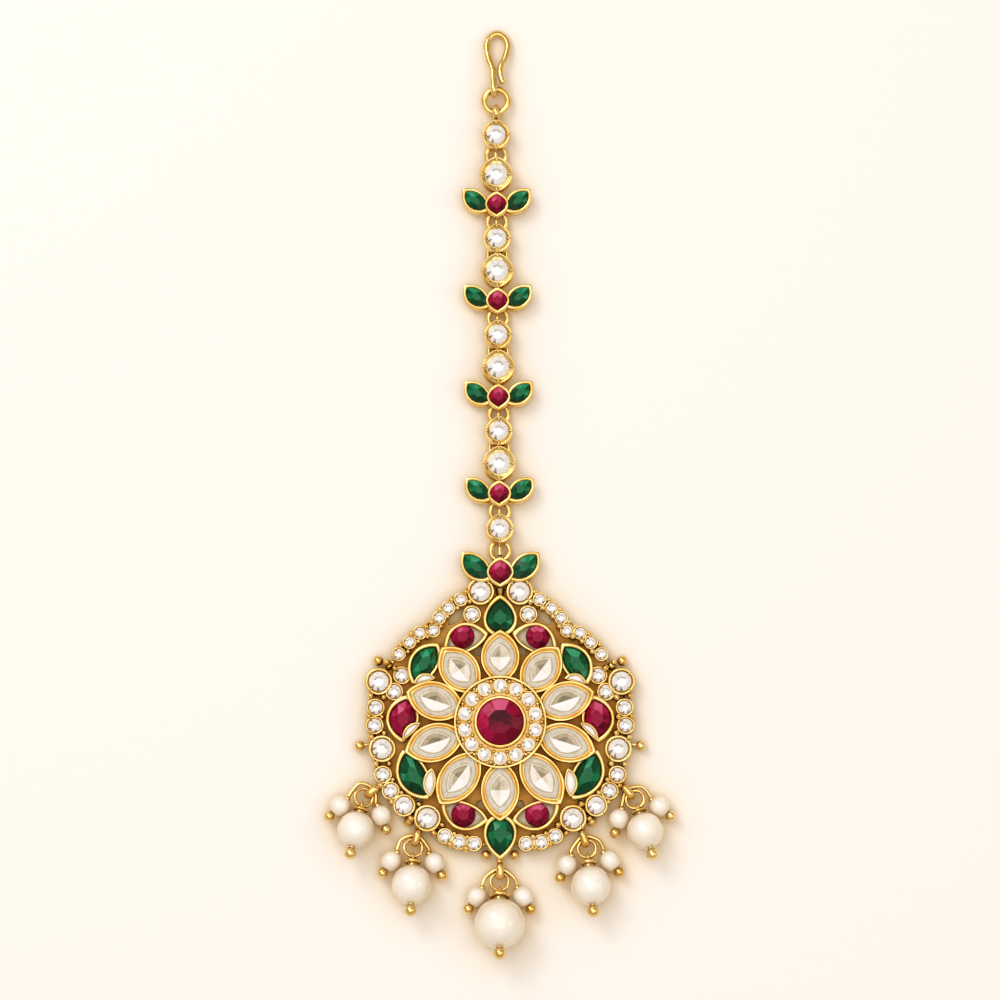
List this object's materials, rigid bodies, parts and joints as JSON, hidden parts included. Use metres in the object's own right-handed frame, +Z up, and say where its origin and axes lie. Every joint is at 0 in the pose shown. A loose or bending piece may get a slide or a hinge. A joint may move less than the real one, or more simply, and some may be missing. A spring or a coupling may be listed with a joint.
{
  "type": "maang tikka",
  "caption": "Lying head ornament: bent wire hook, chain of linked stone settings, flower pendant of set stones and hanging pearl drops.",
  "frame": {"origin": "on the surface under the middle of the whole lying ornament's bounding box", "axes": "+Y towards the hook, +X to the right as seen from above with the hook at the top, +Z up from the surface"},
  "size_m": [0.052, 0.139, 0.0076],
  "materials": {
    "gold": "polished gold plate",
    "ruby": "cut and polished glass stone, crimson",
    "emerald": "cut and polished glass stone, deep green",
    "kundan_glass": "foil backed clear glass",
    "pearl": "cream pearl lustre"
  },
  "bodies": {
    "root": {"hook": "gold", "jump_ring": "gold", "pendant_frame": "gold", "round_link_1": "gold", "round_link_2": "gold", "round_link_3": "gold", "round_link_4": "gold", "round_link_5": "gold", "leaf_link_1": "gold", "leaf_link_2": "gold", "leaf_link_3": "gold", "leaf_link_4": "gold", "chain_ring_1": "gold", "chain_ring_2": "gold", "chain_ring_3": "gold", "chain_ring_4": "gold", "chain_ring_5": "gold", "chain_ring_6": "gold", "chain_ring_7": "gold", "chain_ring_8": "gold", "chain_ring_9": "gold", "drop_a_ring": "gold", "drop_a_pair": "gold", "drop_b_ring": "gold", "drop_b_pair": "gold", "drop_c_ring": "gold", "drop_c_pair": "gold", "drop_d_ring": "gold", "drop_d_pair": "gold", "drop_e_ring": "gold", "drop_e_pair": "gold", "centre_ruby": "ruby", "red_upper_left": "ruby", "red_upper_right": "ruby", "red_side_left": "ruby", "red_side_right": "ruby", "red_lower_left": "ruby", "red_lower_right": "ruby", "green_upper_left": "emerald", "green_upper_right": "emerald", "green_lower_left": "emerald", "green_lower_right": "emerald", "green_top": "emerald", "green_bottom": "emerald", "petal_stone_1": "kundan_glass", "petal_stone_2": "kundan_glass", "petal_stone_3": "kundan_glass", "petal_stone_4": "kundan_glass", "petal_stone_5": "kundan_glass", "petal_stone_6": "kundan_glass", "petal_stone_7": "kundan_glass", "petal_stone_8": "kundan_glass", "petal_stone_9": "kundan_glass", "petal_stone_10": "kundan_glass", "drop_a_pearl": "pearl", "drop_b_pearl": "pearl", "drop_c_pearl": "pearl", "drop_d_pearl": "pearl", "drop_e_pearl": "pearl"}
  },
  "joints": []
}
